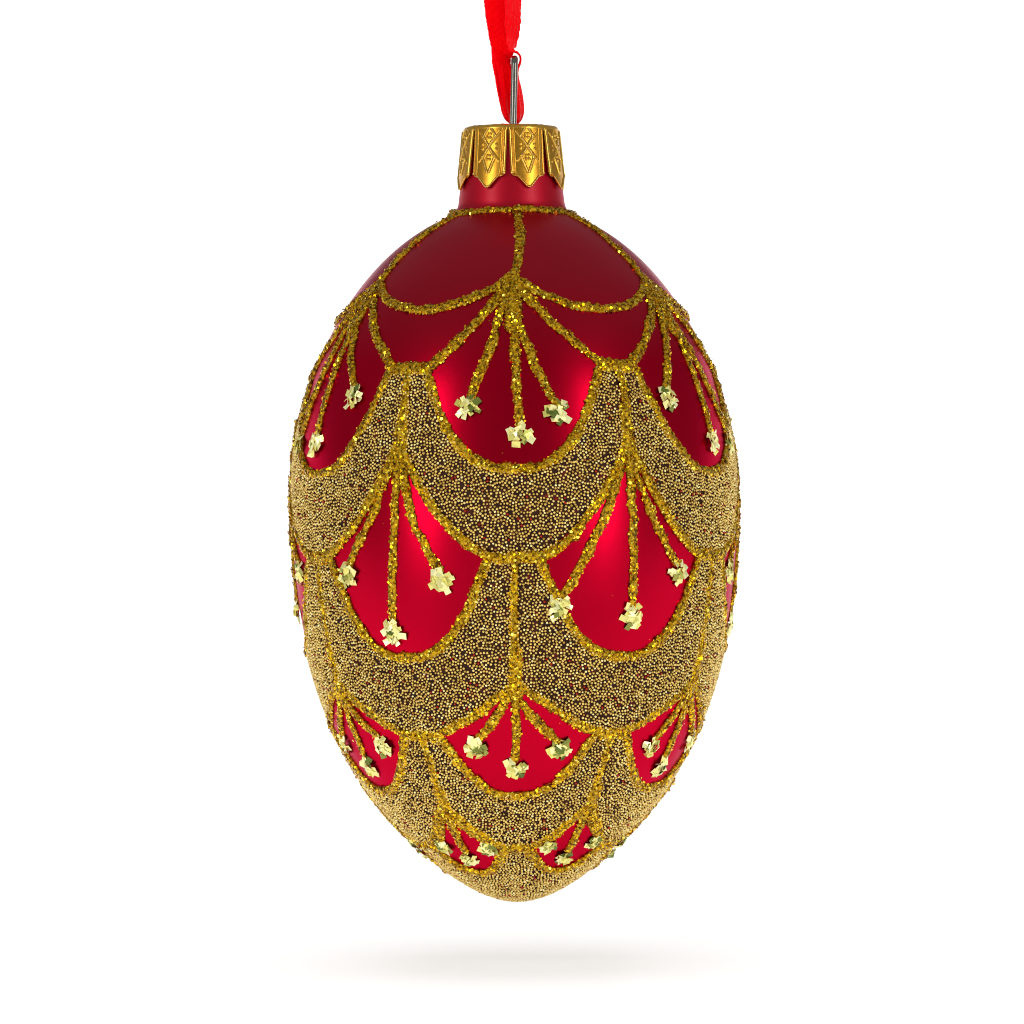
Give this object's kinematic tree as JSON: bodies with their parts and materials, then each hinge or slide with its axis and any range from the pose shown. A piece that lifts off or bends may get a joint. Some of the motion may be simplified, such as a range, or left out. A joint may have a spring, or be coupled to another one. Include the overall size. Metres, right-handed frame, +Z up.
{
  "type": "christmas egg ornament",
  "caption": "Red glass egg ornament with gold bead swags and glitter fans, a stamped petal cap, a wire hanger and a satin ribbon loop.",
  "frame": {"origin": "the top of the ribbon's knot, where the ornament hangs, on the egg's axis", "axes": "+Z up along the egg's axis; -Y faces the front, so the wire loop is seen edge-on; +X to the right"},
  "size_m": [0.0584, 0.0582, 0.1218],
  "materials": {
    "red_glass": "satin lacquer, opaque",
    "gold_cap": "stamped, polished",
    "steel_wire": "drawn, bright",
    "ribbon": "satin",
    "gold_beads": "gold-coated micro beads, opaque",
    "gold_glitter": "metallic flakes and foil set in glue"
  },
  "bodies": {
    "ribbon": {"ribbon_loop": "ribbon", "ribbon_knot": "ribbon"},
    "hanger": {"hanger_wire": "steel_wire"},
    "cap": {"cap": "gold_cap"},
    "glass": {"glass_egg": "red_glass", "bead_swag_upper_1": "gold_beads", "bead_swag_upper_2": "gold_beads", "bead_swag_upper_3": "gold_beads", "bead_swag_upper_4": "gold_beads", "bead_swag_upper_5": "gold_beads", "bead_swag_upper_6": "gold_beads", "bead_swag_lower_1": "gold_beads", "bead_swag_lower_2": "gold_beads", "bead_swag_lower_3": "gold_beads", "bead_swag_lower_4": "gold_beads", "bead_swag_lower_5": "gold_beads", "bead_swag_lower_6": "gold_beads", "bead_swag_tip_1": "gold_beads", "bead_swag_tip_2": "gold_beads", "bead_swag_tip_3": "gold_beads", "bead_swag_tip_4": "gold_beads", "bead_swag_tip_5": "gold_beads", "bead_swag_tip_6": "gold_beads", "bead_tip": "gold_beads", "glitter_fan_top_1": "gold_glitter", "glitter_fan_top_2": "gold_glitter", "glitter_fan_top_3": "gold_glitter", "glitter_fan_top_4": "gold_glitter", "glitter_fan_top_5": "gold_glitter", "glitter_fan_top_6": "gold_glitter", "glitter_fan_upper_1": "gold_glitter", "glitter_fan_upper_2": "gold_glitter", "glitter_fan_upper_3": "gold_glitter", "glitter_fan_upper_4": "gold_glitter", "glitter_fan_upper_5": "gold_glitter", "glitter_fan_upper_6": "gold_glitter", "glitter_fan_lower_1": "gold_glitter", "glitter_fan_lower_2": "gold_glitter", "glitter_fan_lower_3": "gold_glitter", "glitter_fan_lower_4": "gold_glitter", "glitter_fan_lower_5": "gold_glitter", "glitter_fan_lower_6": "gold_glitter", "glitter_fan_tip_1": "gold_glitter", "glitter_fan_tip_2": "gold_glitter", "glitter_fan_tip_3": "gold_glitter", "glitter_fan_tip_4": "gold_glitter", "glitter_fan_tip_5": "gold_glitter", "glitter_fan_tip_6": "gold_glitter", "neck_ring": "gold_glitter"}
  },
  "joints": [
    {"name": "hanger_swing", "type": "hinge", "parent": "ribbon", "child": "hanger", "pos_m": [0, 0, -0.01372], "axis": [0, 1, 0], "range_deg": [-30, 30]},
    {"name": "cap_slide", "type": "slide", "parent": "hanger", "child": "cap", "axis": [0, 0, -1], "range_m": [0, 0.003]},
    {"name": "glass_pull_off", "type": "slide", "parent": "cap", "child": "glass", "axis": [0, 0, -1], "range_m": [0, 0.024]}
  ]
}
